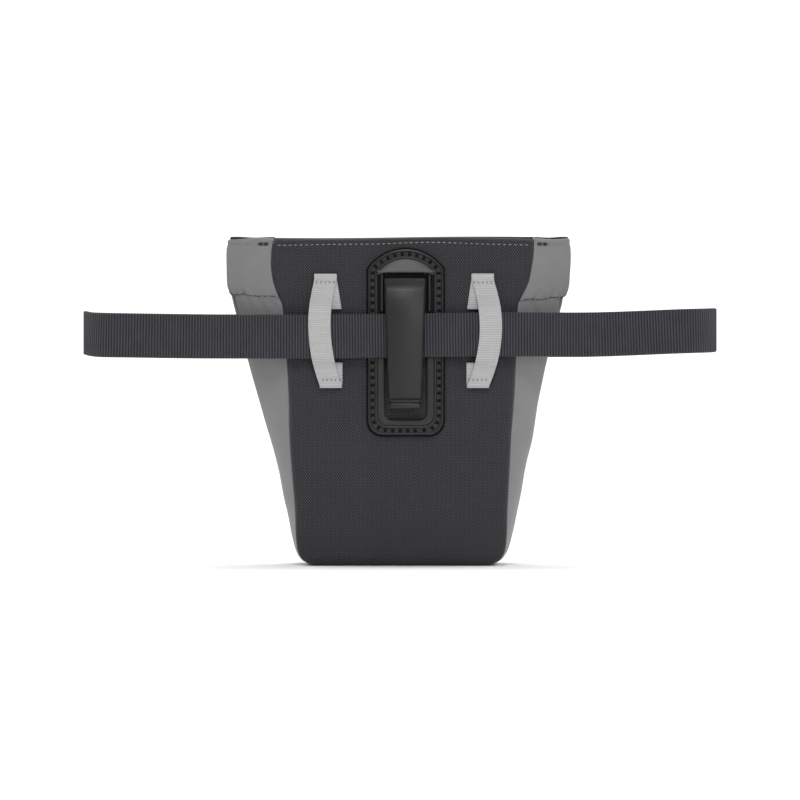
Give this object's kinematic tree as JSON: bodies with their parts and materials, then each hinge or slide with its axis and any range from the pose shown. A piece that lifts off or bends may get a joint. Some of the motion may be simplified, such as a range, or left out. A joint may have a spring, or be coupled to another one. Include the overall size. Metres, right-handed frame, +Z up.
{
  "type": "belt pouch",
  "caption": "Tapered soft pouch with folded side gussets and a closed mouth, carried on a webbing waist belt by a moulded clip and sewn loops.",
  "frame": {"origin": "under the middle of the whole outline, on the surface the pouch stands on", "axes": "+Z up; +X to the right seen from the clip side; the clip side faces -Y"},
  "size_m": [0.29, 0.0706, 0.1494],
  "materials": {
    "panel_nylon": "woven nylon over foam",
    "gusset_cloth": "smooth coated cloth",
    "lining_cloth": "light plain weave",
    "sheet_plastic": "polyethylene sheet",
    "magnet_steel": "nickel plated",
    "moulded_plastic": "fine texture",
    "thread": "twisted polyester",
    "webbing": "ribbed webbing",
    "loop_ribbon": "grosgrain",
    "elastic": "woven elastic"
  },
  "bodies": {
    "pouch": {"back_panel": "panel_nylon", "base_panel": "panel_nylon", "back_facing": "panel_nylon", "back_lining": "lining_cloth", "base_lining": "lining_cloth", "left_gusset_lining": "lining_cloth", "right_gusset_lining": "lining_cloth", "back_stiffener": "sheet_plastic", "base_stiffener": "sheet_plastic", "back_magnet": "magnet_steel", "left_gusset": "gusset_cloth", "right_gusset": "gusset_cloth", "left_gusset_cuff": "gusset_cloth", "right_gusset_cuff": "gusset_cloth", "clip_plate": "moulded_plastic", "clip_stitching": "thread", "loop_stitching": "thread", "left_loop": "loop_ribbon", "right_loop": "loop_ribbon"},
    "front": {"front_panel": "panel_nylon", "front_facing": "panel_nylon", "front_lining": "lining_cloth", "front_magnet": "magnet_steel"},
    "tongue": {"clip_tongue": "moulded_plastic"},
    "belt": {"belt_webbing": "webbing", "buckle_socket": "moulded_plastic", "buckle_plug": "moulded_plastic"},
    "prong_upper": {"buckle_prong_upper": "moulded_plastic"},
    "prong_lower": {"buckle_prong_lower": "moulded_plastic"},
    "keeper": {"belt_keeper": "moulded_plastic"},
    "band": {"tail_band": "elastic"}
  },
  "joints": [
    {"name": "mouth_open", "type": "hinge", "parent": "pouch", "child": "front", "pos_m": [0, 0.01815, 0.00042], "axis": [-1, 0, 0], "range_deg": [0, 9]},
    {"name": "tongue_flex", "type": "hinge", "parent": "pouch", "child": "tongue", "pos_m": [0.0026, -0.03195, 0.1283], "axis": [-1, 0, 0], "range_deg": [0, 10], "stiffness_Nm_per_rad": 0.8},
    {"name": "belt_slide", "type": "slide", "parent": "pouch", "child": "belt", "axis": [1, 0, 0], "range_m": [-0.03, 0.03]},
    {"name": "prong_upper_squeeze", "type": "hinge", "parent": "belt", "child": "prong_upper", "pos_m": [0.0062, 0.03115, 0.1129], "axis": [0, -1, 0], "range_deg": [0, 12], "stiffness_Nm_per_rad": 0.05},
    {"name": "prong_lower_squeeze", "type": "hinge", "parent": "belt", "child": "prong_lower", "pos_m": [0.0062, 0.03115, 0.0981], "axis": [0, 1, 0], "range_deg": [0, 12], "stiffness_Nm_per_rad": 0.05},
    {"name": "keeper_slide", "type": "slide", "parent": "belt", "child": "keeper", "axis": [1, 0, 0], "range_m": [-0.01, 0.012]},
    {"name": "band_slide", "type": "slide", "parent": "belt", "child": "band", "axis": [1, 0, 0], "range_m": [-0.002, 0.03]}
  ]
}
